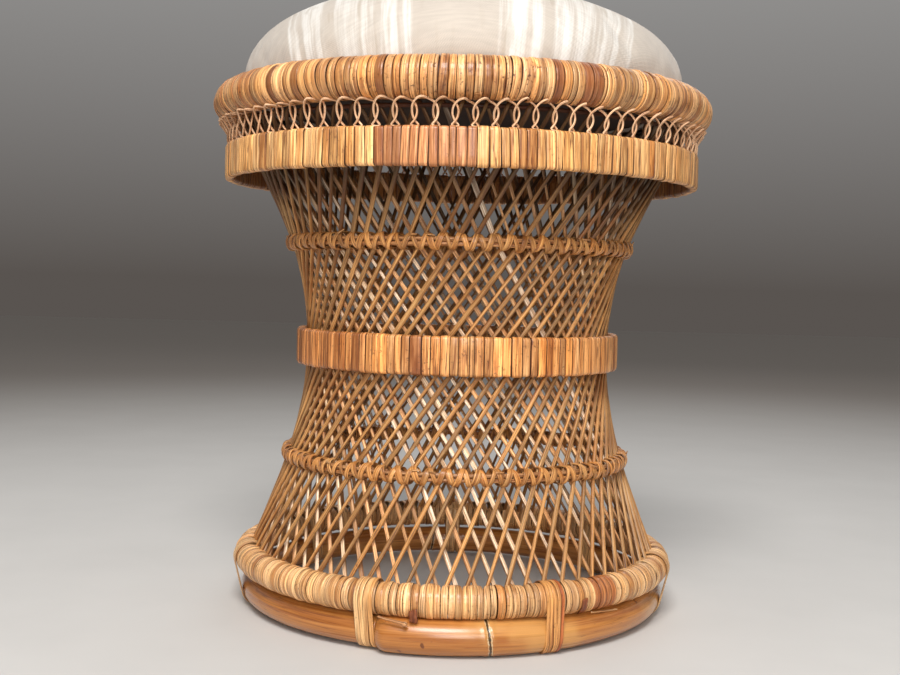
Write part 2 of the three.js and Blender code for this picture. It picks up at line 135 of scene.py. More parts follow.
# Pad
PAD_WIDEST_RADIUS = 166.4
PAD_WIDEST_HEIGHT = 394
PAD_CROWN_HEIGHT = 71
PAD_CROWN_POWER = 2.2  # 2 would give an ellipse
PAD_RIM_GAP = 0.7
PAD_SWELL = 3.0  # how far the cushion starts inside its outline
PAD_LUMPS = 0.8
PAD_HELD_RISE = 2.5  # how far above the board the rim holds the cushion
PAD_BOARD_GAP = 0.3
PAD_VOXEL = 5.5
SWELL_FRAMES = 20
SWELL_REACH = 14
CLOTH_SPREAD_SHARE = 0.45  # how much of the slope's extra length shows in the cloth's pattern

# Cross-sections of strands: places across, -1 to 1, and out of the face, in half thicknesses
PEEL_SHARES = [
    (-1, -0.4), (-0.98, 0.4), (-0.88, 0.82), (-0.5, 0.97), (0, 1),
    (0.5, 0.97), (0.88, 0.82), (0.98, 0.4), (1, -0.4), (0.9, -1), (-0.9, -1),
]
REED_SHARES = [
    (-1, -0.3), (-0.92, 0.4), (-0.55, 0.88), (0, 1),
    (0.55, 0.88), (0.92, 0.4), (1, -0.3), (0.84, -1), (-0.84, -1),
]
INNER_FACE_SHARE = -0.5
ROUND_SHARES = [(math.sin(math.tau * i / 8), math.cos(math.tau * i / 8)) for i in range(8)]

# Colours on screen, and shades that darker cane is multiplied by
CORE_BROWN = (66, 34, 18)
BACK_CANE_BROWN = (150, 98, 58)
DEEP_SHADE = (0.6, 0.5, 0.42)


# Colours
def linear(red, green, blue):
    """A colour given as 0 to 255 on screen, as the shaders take it."""
    values = np.array([red, green, blue]) / 255
    return np.where(values <= 0.04045, values / 12.92, ((values + 0.055) / 1.055) ** 2.4)


def tints(rng, count, base, spread=0.1, warmth=0.04):
    """One colour for each strand, lighter or darker and redder or yellower than the base."""
    light = 1 + spread * rng.normal(size=(count, 1)).clip(-2, 2)
    warm = warmth * rng.normal(size=(count, 1)).clip(-2, 2)
    return linear(*base) * light * np.hstack([1 + warm, 1 + 0 * warm, 1 - 2 * warm])


# Geometry in millimetres
def polar(radius, bearing, height):
    """Points at a radius, a bearing from the front and a height."""
    angle = np.radians(bearing)
    radius, angle, height = np.broadcast_arrays(radius, angle, height)
    return np.stack([radius * np.sin(angle), -radius * np.cos(angle), height], axis=-1).astype(float)


def outward(bearing):
    return polar(1.0, bearing, 0.0)


def around(steps, start=0.0):
    """Bearings of even steps round one turn."""
    return start + FULL_TURN * np.arange(steps) / steps


def wrapped_angle(bearings):
    """Bearings from -180 to 180."""
    return (bearings + 180) % FULL_TURN - 180


def node_box(node):
    """A node's lowest and highest corners."""
    low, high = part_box(node)
    return np.array(low) / MM, np.array(high) / MM


def ring_box(node):
    """A ring node's outer radius, middle height and depth."""
    low, high = node_box(node)
    return high[0], (low[2] + high[2]) / 2, high[2] - low[2]


def unit(vectors):
    return vectors / np.linalg.norm(vectors, axis=-1, keepdims=True).clip(1e-9)


def smooth(values, rounds, closed=False):
    """Evens out rows of values along their first axis and keeps the ends of an open row."""
    values = np.array(values, float)
    for _ in range(rounds):
        if closed:
            values = (np.roll(values, 1, axis=0) + 2 * values + np.roll(values, -1, axis=0)) / 4
        else:
            values[1:-1] = (values[:-2] + 2 * values[1:-1] + values[2:]) / 4
    return values


def waves(rng, size, rounds):
    """Random values that rise and fall smoothly round a closed row."""
    return smooth(rng.normal(size=size), rounds, closed=True)


def frames(path, facing, closed=False):
    """Unit vectors across and out of the face of a flat strand along a path (n strands, m points)."""
    if closed:
        along = np.roll(path, -1, axis=1) - np.roll(path, 1, axis=1)
    else:
        along = np.gradient(path, axis=1)
    along = unit(along)
    out = unit(facing - (facing * along).sum(axis=-1, keepdims=True) * along)
    return np.cross(out, along), out


def mesh_object(name, points, faces):
    """An object from points in millimetres, shaded smooth."""
    mesh = bpy.data.meshes.new(name)
    mesh.from_pydata((np.asarray(points) * MM).tolist(), [], faces)
    mesh.shade_smooth()
    piece = bpy.data.objects.new(name, mesh)
    bpy.context.scene.collection.objects.link(piece)
    return piece


def mesh_points(mesh):
    points = np.empty(len(mesh.vertices) * 3)
    mesh.vertices.foreach_get("co", points)
    return points.reshape(-1, 3) / MM


def move_points(mesh, points):
    mesh.vertices.foreach_set("co", (points * MM).ravel())


def set_attribute(piece, name, kind, values):
    field = {"FLOAT_VECTOR": "vector", "FLOAT_COLOR": "color"}[kind]
    attribute = piece.data.attributes.new(name, kind, "POINT")
    attribute.data.foreach_set(field, np.ascontiguousarray(values, np.float32).ravel())


def point_colours(tint):
    """Colours of strands (n, 3) or of their points (n, m, 3), ready to spread over the section's corners."""
    tint = np.asarray(tint)
    return tint[:, None, None] if tint.ndim == 2 else tint[:, :, None]


def strand_piece(name, slot, nodes, centre, across, out, tint, closed=False, shares=PEEL_SHARES, back=None,
                 look=None):
    """Strands as one piece. centre, across (half widths) and out (half thicknesses) hold n strands of m
    points. Each point keeps its colour and where it lies on its strand, for the grain. back colours the inner
    face."""
    section = np.array(shares)
    count, steps, _ = centre.shape
    corners = len(section)
    points = centre[:, :, None] + across[:, :, None] * section[:, :1] + out[:, :, None] * section[:, 1:]
    ids = np.arange(count * steps * corners).reshape(count, steps, corners)
    here, ahead = (ids, np.roll(ids, -1, axis=1)) if closed else (ids[:, :-1], ids[:, 1:])
    quads = np.stack([here, np.roll(here, -1, 2), np.roll(ahead, -1, 2), ahead], axis=-1).reshape(-1, 4)
    flat = points.reshape(-1, 3)
    a, b, c, d = (flat[quads[:, i]] for i in range(4))
    volume = (a * np.cross(b, c)).sum() + (a * np.cross(c, d)).sum()
    faces = (quads if volume > 0 else quads[:, ::-1]).tolist()
    if not closed:
        order = -1 if volume > 0 else 1
        faces += ids[:, 0, ::order].tolist() + ids[:, -1, ::-order].tolist()
    piece = mesh_object(name, flat, faces)
    lengths = np.linalg.norm(np.diff(centre, axis=1), axis=-1)
    along = np.pad(np.cumsum(lengths, axis=1), ((0, 0), (1, 0))) * MM
    chance = default_rng(count).random(count)
    place = np.empty(points.shape)
    place[..., 0] = section[:, 0]
    place[..., 1] = along[:, :, None]
    place[..., 2] = chance[:, None, None]
    set_attribute(piece, "strand", "FLOAT_VECTOR", place)
    colour = np.ones((count, steps, corners, 4))
    colour[..., :3] = point_colours(tint)
    if back is not None:
        inner = section[:, 1] < INNER_FACE_SHARE
        colour[:, :, inner, :3] = point_colours(back)
    set_attribute(piece, "tint", "FLOAT_COLOR", colour)
    place_piece(piece, slot, nodes, look=look)
    return piece


def ribbons(name, slot, nodes, path, facing, half_width, half_thickness, tint, closed=False, **rest):
    """Strands along paths, with their outer faces turned one way at each point."""
    across, out = frames(path, facing, closed)
    strand_piece(name, slot, nodes, path, across * half_width, out * half_thickness, tint, closed, **rest)


def canes(name, slot, nodes, path, facing, radius, tint, **rest):
    """Round strands along closed paths."""
    ribbons(name, slot, nodes, path, facing, radius, radius, tint, closed=True, shares=ROUND_SHARES, **rest)


def place_piece(piece, slot, nodes=(), body=FRAME_BODY, look=None):
    """Gives a piece the material of its slot, puts it under its body and hides the nodes that it stands for.
    """
    piece.data.materials.append(looks[look or slot])
    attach(piece, body)
    if nodes:
        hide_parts(*nodes)


# Materials
class Field:
    """A value that a material works out at each point, with sums written as usual."""

    def __init__(self, look, socket):
        self.look = look
        self.socket = socket

    def __add__(self, other):
        return self.look.math("ADD", self, other)

    def __sub__(self, other):
        return self.look.math("SUBTRACT", self, other)

    def __mul__(self, other):
        return self.look.math("MULTIPLY", self, other)

    def __abs__(self):
        return self.look.math("ABSOLUTE", self)

    def wave(self, length):
        """A sine with one wave in each length, in metres."""
        return self.look.math("SINE", self * (math.tau / length))

    def step(self, low, high, to_low=0.0, to_high=1.0):
        """Rises smoothly between two values."""
        return self.look.add("MapRange", (self, low, high, to_low, to_high), interpolation_type="SMOOTHSTEP")


class Look:
    """A material built node by node: layers of paint over a first colour, or over the strands' own."""

    def __init__(self, name, colour=None, **sockets):
        self.material = bpy.data.materials.new(name)
        self.material.use_nodes = True
        self.tree = self.material.node_tree
        self.shader = self.tree.nodes["Principled BSDF"]
        for socket, value in sockets.items():
            self.put(self.shader.inputs[socket.replace("_", " ")], value)
        if colour is None:
            self.colour = self.add("Attribute", output="Color", attribute_name="tint")
        else:
            self.colour = linear(*colour)

    def put(self, socket, value):
        if isinstance(value, Field):
            self.tree.links.new(value.socket, socket)
        else:
            socket.default_value = (*value, 1) if socket.type == "RGBA" else value

    def add(self, kind, inputs=(), output=0, **settings):
        """A new node's output. inputs are values or fields, in order or by name."""
        node = self.tree.nodes.new(f"ShaderNode{kind}")
        for setting, value in settings.items():
            setattr(node, setting, value)
        for key, value in inputs.items() if isinstance(inputs, dict) else enumerate(inputs):
            self.put(node.inputs[key], value)
        return Field(self, node.outputs[output])

    def attribute(self, name):
        """The three parts of a vector attribute."""
        return self.split(self.add("Attribute", output="Vector", attribute_name=name))

    def position(self):
        return self.add("TexCoord", output="Object")

    def split(self, vector):
        first = self.add("SeparateXYZ", (vector,))
        return [Field(self, socket) for socket in first.socket.node.outputs]

    def join(self, x, y, z):
        return self.add("CombineXYZ", (x, y, z))

    def math(self, operation, a, b=0.0):
        return self.add("Math", (a, b), operation=operation)

    def noise(self, vector, scale=1.0, detail=3.0, roughness=0.55, distortion=0.0):
        inputs = {"Scale": scale, "Detail": detail, "Roughness": roughness, "Distortion": distortion}
        return self.add("TexNoise", {"Vector": vector, **inputs}, "Fac")

    def mix(self, share, a, b, blend="MIX"):
        first, second, result = 6, 7, 2  # where the node's colour inputs and output stand
        inputs = {"Factor": share, first: a, second: b}
        return self.add("Mix", inputs, result, data_type="RGBA", blend_type=blend)

    def paint(self, share, colour):
        self.colour = self.mix(share, self.colour, linear(*colour))

    def shade(self, shade):
        self.colour = self.mix(1.0, self.colour, shade, "MULTIPLY")

    def bump(self, height, distance, strength):
        bump = self.add("Bump", {"Height": height, "Distance": distance, "Strength": strength})
        self.put(self.shader.inputs["Normal"], bump)

    def finish(self, roughness):
        self.put(self.shader.inputs["Base Color"], self.colour)
        self.put(self.shader.inputs["Roughness"], roughness)
        return self.material


def cane_look(name, gloss, stains, specks, edges=0.85, cracks=0.8, rough=(0.34, 0.6)):
    """Peeled or whole cane: streaks and cracks along each strand, brown stains and specks, and dark edges
    that are partly dirt in the grooves and partly painted shade where strands meet.
    """
    look = Look(name, Coat_Weight=gloss, Coat_Roughness=0.2, Specular_IOR_Level=0.4)
    across, along, chance = look.attribute("strand")

    def along_strand(over, down, seed):
        return look.join(across * over, along * down, chance * seed)

    streak = look.noise(along_strand(1.3, 30.0, 87.0), detail=4, roughness=0.62)
    fibre = look.noise(along_strand(2.9, 12.0, 201.0), detail=3, roughness=0.6)
    split = look.noise(along_strand(1.6, 9.0, 331.0), detail=2, roughness=0.5)
    look.shade(look.mix(streak.step(0.34, 0.66), (0.7, 0.55, 0.42), (1.22, 1.2, 1.15)))
    look.shade(look.mix(fibre.step(0.38, 0.6), (0.68, 0.55, 0.45), (1.15, 1.15, 1.15)))
    patch = look.noise(look.position(), scale=34, detail=4, roughness=0.62)
    look.paint(patch.step(0.5, 0.7) * streak.step(0.7, 0.36) * stains, (124, 62, 26))
    line = abs(look.math("FRACT", split * 5.0) - 0.5).step(0.05, 0.12, 1.0, 0.0)
    crack = line * fibre.step(0.4, 0.54)
    look.paint(crack * cracks, (92, 42, 18))
    speck = look.noise(look.position(), scale=430, detail=2).step(0.62, 0.68)
    look.paint(speck * patch.step(0.42, 0.62, 0.25, 1.0) * specks, (82, 42, 22))
    # Dark edges: partly dirt in the grooves, partly painted shade where strands meet.
    seam = look.noise(along_strand(0.4, 22.0, 57.0), detail=2).step(0.36, 0.56, 0.3, 1.0)
    look.paint(abs(across).step(0.87, 1.0) * seam * edges, (54, 24, 12))
    look.bump(fibre + streak * 0.6 - crack, 0.0004, 0.6)
    return look.finish(streak.step(0.3, 0.75, *rough))


def pole_look():
    """A thick glossy pole with long grain, dark streaks, small knots, and dark lines at its growth rings."""
    look = Look("pole_cane", (156, 92, 40), Coat_Weight=0.5, Coat_Roughness=0.2, Specular_IOR_Level=0.4)
    _, along, _ = look.attribute("strand")
    side, up, ring = look.attribute("round")

    def grain_place(round_scale, down):
        return look.join(side * round_scale, up * round_scale, along * down)

    grain = look.noise(grain_place(2.2, 6.0), detail=4, roughness=0.6, distortion=0.4)
    fibre = look.noise(grain_place(11.0, 13.0), detail=3, roughness=0.6)
    line = look.noise(grain_place(5.0, 7.0), detail=2, roughness=0.5, distortion=0.3)
    look.paint(grain.step(0.3, 0.7), (208, 140, 70))
    look.paint(fibre.step(0.54, 0.7) * 0.2, (104, 52, 22))
    look.paint(abs(line - 0.5).step(0.003, 0.014, 0.55, 0.0), (92, 44, 18))
    patch = look.noise(look.position(), scale=17, detail=3)
    look.paint(patch.step(0.5, 0.68) * 0.55, (214, 160, 92))
    knot = look.noise(look.position(), scale=150, detail=1)
    look.paint(knot.step(0.74, 0.79, 0.0, 0.8), (96, 44, 22))
    ragged = abs(ring) + look.noise(look.position(), scale=520, detail=3) * 2.6
    look.paint(ragged.step(1.7, 2.3, 0.92, 0.0), (44, 40, 26))
    fleck = abs(ring) + look.noise(look.position(), scale=900, detail=2) * 2.0 - 2.1
    look.paint(abs(fleck).step(0.1, 0.35, 0.75, 0.0), (232, 212, 170))
    look.bump(fibre + grain, 0.0003, 0.3)
    return look.finish(grain.step(0.3, 0.7, 0.24, 0.4))


def cloth_look():
    """Upholstery with a fine diagonal weave and two broad streaky bands in a paler yarn, front to back."""
    twill_pitch, yarn_pitch = 0.0013, 0.001
    look = Look("pad_cloth", (192, 182, 171), Sheen_Weight=0.2, Sheen_Roughness=0.5, Specular_IOR_Level=0.2)
    x, y, _ = look.attribute("cloth")

    def stretched(over, down, seed):
        return look.join(x * over, y * down, seed)

    def band(left, right, edge=0.001):
        return x.step(left - edge, left + edge) - x.step(right - edge, right + edge)

    bands = band(-0.126, -0.0355) + band(0.0225, 0.1195)
    column = look.noise(stretched(85.0, 3.0, 0.0), detail=3, roughness=0.6)
    streak = look.noise(stretched(330.0, 16.0, 3.0), detail=3, roughness=0.6)
    look.paint(bands * (column * 1.2 + streak * 0.7).step(0.78, 1.16), (224, 221, 216))
    slub = look.noise(stretched(55.0, 620.0, 0.0), detail=2)
    drift = look.noise(stretched(30.0, 30.0, 5.0), detail=2) * 0.004
    twill = (x * 0.8 + y * -0.6 + drift).wave(twill_pitch)
    weave = y.wave(yarn_pitch) * x.wave(yarn_pitch)
    shade = twill * 0.03 + weave * 0.045 + slub.step(0.3, 0.7, 0.93, 1.03)
    look.shade(look.join(shade, shade, shade))
    cloud = look.noise(look.position(), scale=11, detail=3)
    look.shade(look.mix(cloud, (0.93, 0.92, 0.9), (1.03, 1.03, 1.03)))
    dash = look.noise(stretched(150.0, 26.0, 9.0), detail=1).step(0.62, 0.7)
    look.paint(dash * bands.step(0.0, 1.0, 0.25, 1.0) * 0.4, (168, 154, 136))
    look.bump(weave * 0.6 + twill * 0.2, 0.0002, 0.5)
    return look.finish(slub.step(0.2, 0.8, 0.85, 0.95))


def plywood_look():
    """Plywood stained brown with its plies on the edge, its colour made darker still as painted shade under
    the pad.
    """
    ply_pitch = 0.0027
    # Painted shade: the board's brown is darkened so that its underside reads as the shade under the pad.
    look = Look("plywood", (48, 32, 23), Specular_IOR_Level=0.3)
    x, y, z = look.split(look.position())
    rings = look.noise(look.join(x * 60.0, y * 5.0, 0.0), detail=4, distortion=0.6)
    pores = look.noise(look.join(x * 700.0, y * 60.0, 0.0), detail=2)
    look.paint(rings.step(0.3, 0.7), (74, 50, 34))
    look.paint(pores.step(0.55, 0.7, 0.0, 0.5), (34, 22, 16))
    look.paint(z.wave(ply_pitch).step(0.2, 0.9, 0.0, 0.25), (38, 26, 18))
    look.bump(rings + pores, 0.0003, 0.4)
    return look.finish(rings.step(0.3, 0.7, 0.6, 0.75))


def make_looks():
    """The materials by the names of their slots."""
    peels_and_canes = {
        "rim_peel": dict(gloss=0.3, stains=0.85, specks=0.8),
        "apron_peel": dict(gloss=0.25, stains=0.35, specks=0.4),
        "waist_peel": dict(gloss=0.3, stains=0.55, specks=0.6),
        "foot_peel": dict(gloss=0.3, stains=0.3, specks=0.5, edges=0.6),
        "reed_cane": dict(gloss=0.12, stains=0.35, specks=0.35, edges=0.35, rough=(0.42, 0.65)),
        "ring_cane": dict(gloss=0.2, stains=0.3, specks=0.4, edges=0.45),
        "lace_cane": dict(gloss=0.15, stains=0.3, specks=0.2, edges=0.1),
        "core_cane": dict(gloss=0.05, stains=0.4, specks=0.3, edges=0.0, rough=(0.5, 0.7)),
    }
    made = {name: cane_look(name, **settings) for name, settings in peels_and_canes.items()}
    return {**made, "pole_cane": pole_look(), "pad_cloth": cloth_look(), "plywood": plywood_look()}


# Windings: strips of peel wound round a hoop
def round_section(radius, steps, start):
    """Offsets and outward normals round a circle, as angles from straight up, turning outwards."""
    angles = np.radians(around(steps, start))
    normals = np.stack([np.sin(angles), np.cos(angles)], axis=-1)
    return radius * normals, normals


def band_section(half_width, half_height, corner, corner_steps=4, side_steps=3):
    """Offsets and normals round a flat band with round corners, from its inner top corner outwards."""
    inner = np.array([half_width - corner, half_height - corner])
    offsets = []
    normals = []
    for side, end, start in ((-1, 1, 270), (1, 1, 0), (1, -1, 90), (-1, -1, 180)):
        for angle in np.radians(np.linspace(start, start + 90, corner_steps)):
            normals.append((math.sin(angle), math.cos(angle)))
            offsets.append((side, end) * inner + corner * np.array(normals[-1]))
        if side == end:
            for i in range(1, side_steps + 1):
                normals.append((side, 0))
                offsets.append((side * half_width, end * inner[1] * (1 - 2 * i / (side_steps + 1))))
    return np.array(offsets, float), np.array(normals, float)


def strip_bearings(rng, count, spread, start):
    """Middle bearings and half widths in degrees of strips that fill the whole turn."""
    widths = rng.normal(1, spread, count).clip(0.42, 1.75)
    widths *= FULL_TURN / widths.sum()
    ends = start + np.cumsum(widths)
    return ends - widths / 2, widths / 2


def strip_colours(rng, middles, base, spread, warmth, dark_share, dark, stretches):
    """Colours of strips: some are darker, and stretches between two bearings turn towards another colour."""
    colours = tints(rng, len(middles), base, spread, warmth)
    colours[rng.random(len(middles)) < dark_share] *= dark
    bearings = wrapped_angle(middles)
    for low, high, other, share in stretches:
        inside = (bearings >= low) & (bearings <= high)
        grey = colours[inside].mean(axis=1, keepdims=True) / colours.mean()
        colours[inside] = (1 - share) * colours[inside] + share * grey * linear(*other)
    return colours


def winding(part, node, hoop, section, thickness, strips, rng, gather=None, inner_shade=1.0, **colouring):
    """Strips wound round a hoop. gather moves and narrows them round the section, and their inner face can be
    shaded."""
    lift, tilt = 0.22, 0.3
    middles, halves = strips
    offsets, normals = section
    inward = (normals[:, 0] < INNER_FACE_SHARE)[:, None]
    colours = strip_colours(rng, middles, **colouring)[:, None] * np.where(inward, inner_shade, 1.0)
    count = len(middles)
    radius = hoop[0] + offsets[:, 0] - normals[:, 0] * thickness / 2
    level = hoop[1] + offsets[:, 1] - normals[:, 1] * thickness / 2
    raised = lift * rng.normal(size=(count, 1)).clip(-1.5, 1.5)
    slant = waves(rng, count, 3)[:, None] * tilt
    turn = np.arange(len(offsets)) / len(offsets)
    wobble = slant * np.sin(math.tau * (turn + rng.random())) * halves[:, None]
    bearing = middles[:, None] + wobble
    fill = rng.uniform(0.9, 0.99, (count, 1))
    width = np.broadcast_to(halves[:, None] * fill, bearing.shape)
    if gather is not None:
        bearing, width, raised = gather(bearing, width, raised)
    centre = polar(radius + raised * normals[:, 0], bearing, level + raised * normals[:, 1])
    across = polar(radius * np.radians(width), bearing + 90, 0.0)
    out = polar(normals[:, 0], bearing, normals[:, 1]) * thickness / 2
    strand_piece(f"{part}_peel_winding", f"{part}_peel", [node], centre, across, out, colours, closed=True)


def cane_hoop(name, slot, node, radius, height, thickness, colour, steps=180):
    """A plain bent cane, a little uneven along its length."""
    rng = default_rng(int(radius * 10 + height))
    bearing = around(steps)[None]
    uneven = waves(rng, steps, 8) * 0.5
    path = polar(radius + 0.3 * uneven, bearing, height + 0.3 * uneven[::-1])
    half = (thickness / 2) * (1 + 0.06 * uneven)[None, :, None]
    canes(name, slot, [node], path, outward(bearing), half, tints(rng, 1, colour))


def node_hoop(name, slot, node, colour):
    """A bent cane that fills the box of a thin hoop's node."""
    outer, middle, depth = ring_box(node)
    cane_hoop(name, slot, node, outer - depth / 2, middle, depth, colour)


def make_rim():
    rng = default_rng(7)
    brown = (140, 80, 45)
    winding("rim", "rim_wrap", (RIM_HOOP_RADIUS, RIM_HEIGHT), round_section(RIM_RADIUS, steps=32, start=215),
            RIM_PEEL_THICKNESS, strip_bearings(rng, count=226, spread=0.32, start=0.4), rng,
            base=(238, 186, 126), spread=0.2, warmth=0.05, dark_share=0.1, dark=DEEP_SHADE,
            stretches=[(17.0, 19.9, brown, 0.8), (25.1, 28.0, brown, 0.8), (-43.5, -41.5, brown, 0.8)])
    cane_hoop("rim_inner_cane", "core_cane", "rim_core", RIM_HOOP_RADIUS, RIM_HEIGHT,
              2 * (RIM_RADIUS - RIM_CORE_INSET), CORE_BROWN)


def make_band(part, thickness, corner, strips, rng, **colouring):
    """A flat wound band and the split hoop inside it."""
    outer, middle, depth = ring_box(f"{part}_wrap")
    radius = outer - thickness / 2
    winding(part, f"{part}_wrap", (radius, middle), band_section(thickness / 2, depth / 2, corner),
            BAND_PEEL_THICKNESS, strips, rng, **colouring)
    core_width, core_height = thickness / 2 - BAND_CORE_INSET, depth / 2 - BAND_CORE_INSET
    offsets, _ = band_section(core_width, core_height, corner=1.0)
    bearing = around(120)[None]
    strand_piece(f"{part}_band_core", "core_cane", [f"{part}_hoop"], polar(radius, bearing, middle),
                 polar(0.0, bearing, core_height), polar(core_width, bearing, 0.0),
                 tints(default_rng(3), 1, CORE_BROWN), closed=True,
                 shares=[(z / core_height, x / core_width) for x, z in offsets])


def make_apron():
    """The band under the loops. Its inner face lies out of the light."""
    rng = default_rng(11)
    make_band("apron", APRON_THICKNESS, 2.6, strip_bearings(rng, count=184, spread=0.2, start=1.1), rng,
              base=(240, 192, 130), spread=0.14, warmth=0.04, dark_share=0.06, dark=(0.7, 0.58, 0.48),
              stretches=[(-17.7, 3.85, (206, 144, 100), 0.85)], inner_shade=(0.5, 0.4, 0.32))


def make_waist():
    rng = default_rng(13)
    make_band("waist", WAIST_THICKNESS, 2.4, strip_bearings(rng, count=127, spread=0.16, start=0.6), rng,
              base=(240, 178, 112), spread=0.17, warmth=0.05, dark_share=0.1, dark=DEEP_SHADE,
              stretches=[(-14.2, -10.5, (150, 88, 50), 0.7), (-85, -30, (196, 130, 74), 0.7)])
    node_hoop("waist_back_cane", "ring_cane", "waist_inner_hoop", BACK_CANE_BROWN)


def make_foot_ring():
    """Three strips to each reed pitch, drawn together at the top so that the reeds can enter between them."""
    rng = default_rng(17)
    per_pitch = 3
    group = np.repeat(FOOT_SLOT_BEARING + REED_PITCH * (np.arange(REED_PITCHES) + 0.5), per_pitch)
    between = np.tile([False, True, False], REED_PITCHES)[:, None]
    share = rng.normal(1, 0.13, (REED_PITCHES, per_pitch)).clip(0.6, 1.4)
    share /= share.sum(axis=1, keepdims=True)
    middles = group + REED_PITCH * (np.cumsum(share, axis=1) - share / 2 - 0.5).ravel()
    steps, start = 30, 250
    slot_angle, slot_spread = 334, 28
    near_slot = np.exp(-((wrapped_angle(around(steps, start) - slot_angle) / slot_spread) ** 2))

    def gather(bearing, width, raised):
        moved = bearing + (group[:, None] - bearing) * 0.36 * near_slot
        over = between * near_slot * 0.35
        return moved, width * (1 - 0.3 * near_slot), raised + over - 0.3 * near_slot

    winding("foot", "foot_ring_wrap", (FOOT_HOOP_RADIUS, FOOT_RING_HEIGHT),
            round_section(FOOT_RING_RADIUS, steps, start), FOOT_PEEL_THICKNESS,
            (middles, REED_PITCH * share.ravel() / 2), rng, gather, base=(242, 200, 146), spread=0.13,
            warmth=0.035, dark_share=0.09, dark=(0.7, 0.58, 0.46), stretches=[(36, 43, (190, 122, 70), 0.9)])
    _, middle, depth = ring_box("foot_ring_core")
    cane_hoop("foot_inner_cane", "core_cane", "foot_ring_core", FOOT_HOOP_RADIUS, middle, depth, (96, 56, 30))


def make_turning_canes():
    """The thin canes that the reeds turn round."""
    for part, (radius, height, _) in (("foot", FOOT_TURN), ("top", TOP_TURN)):
        cane_hoop(f"{part}_turning_cane", "core_cane", f"{part}_turn_hoop", radius, height,
                  TURN_CANE_THICKNESS, (74, 44, 27))


# Pole
def pole_section(bearing):
    """The pole's hoop radius and its own radius at a bearing: it winds inwards a little from its joint."""
    share = ((np.asarray(bearing) - POLE_JOINT) % FULL_TURN) / FULL_TURN
    fine = np.linspace(0, 1, 721)
    hoop = smooth(np.interp(fine, POLE_TURN_SHARES, POLE_HOOP_RADII), 6)
    own = smooth(np.interp(fine, POLE_TURN_SHARES, POLE_RADII), 6)
    return np.interp(share, fine, hoop), np.interp(share, fine, own)


def make_pole():
    sides, steps, joint_gap = 28, 1080, 0.2
    bearing = np.linspace(POLE_JOINT + joint_gap, POLE_JOINT + FULL_TURN - joint_gap, steps)
    hoop, own = pole_section(bearing)
    rng = default_rng(23)
    uneven = waves(rng, steps, 500)
    own = own * (1 + 0.006 * uneven / np.abs(uneven).max())
    centre = polar(hoop, bearing, POLE_HEIGHT)[None]
    across, out = frames(polar(POLE_HOOP_RADII[-1], bearing, POLE_HEIGHT)[None], outward(bearing)[None])
    angle = math.tau * np.arange(sides) / sides
    turn = np.stack([np.sin(angle), np.cos(angle)], axis=-1)
    half = own[None, :, None]
    piece = strand_piece("base_pole", "pole_cane", ["base_hoop"], centre, across * half, out * half,
                         tints(rng, 1, (172, 104, 46)), shares=turn)
    ring_slant = 0.55
    ridge_height, ridge_place, ridge_width = 0.35, 2.6, 1.4
    groove_depth, groove_width = 0.45, 1.1
    slant = -ring_slant * np.sin(angle)[None, :]
    distance = (bearing[:, None] - slant)[..., None] - np.array(POLE_RING_BEARINGS)
    distance = np.radians(distance) * hoop[:, None, None]
    nearest = np.abs(distance).argmin(axis=-1)[..., None]
    signed = np.take_along_axis(distance, nearest, axis=-1)[..., 0]
    ridge = ridge_height * np.exp(-((np.abs(signed) - ridge_place) / ridge_width) ** 2)
    ridge -= groove_depth * np.exp(-((signed / groove_width) ** 2))
    points = mesh_points(piece.data).reshape(steps, sides, 3)
    points = points + unit(points - centre[0][:, None]) * ridge[..., None]
    points[..., 2] = points[..., 2].clip(FLOOR_CLEARANCE)
    move_points(piece.data, points)
    turn = np.broadcast_to(turn, (steps, sides, 2))
    set_attribute(piece, "round", "FLOAT_VECTOR", np.dstack([turn, signed]))


def tie_section(bearing, steps=48, even_steps=64):
    """The closed way of a lashing round the foot ring and the pole, as radii, heights and normals."""
    hoop, own = pole_section(bearing)
    centres = np.array([[FOOT_HOOP_RADIUS, FOOT_RING_HEIGHT], [float(hoop), POLE_HEIGHT]])
    radii = np.array([FOOT_RING_RADIUS + 0.5, float(own) + 0.3]) + TIE_THICKNESS / 2
    _, normals = round_section(1.0, steps, start=300)
    chosen = (normals @ centres.T + radii).argmax(axis=1)
    points = centres[chosen] + radii[chosen][:, None] * normals
    points[:, 1] = points[:, 1].clip(TIE_THICKNESS / 2 + FLOOR_CLEARANCE)
    loop, turns = (np.vstack([rows, rows[:1]]) for rows in (points, normals))
    at = np.concatenate([[0], np.cumsum(np.linalg.norm(np.diff(loop, axis=0), axis=1))])
    wanted = np.linspace(0, at[-1], even_steps, endpoint=False)

    def evenly(rows):
        return np.stack([np.interp(wanted, at, rows[:, i]) for i in range(2)], axis=-1)

    return evenly(loop), unit(evenly(turns))


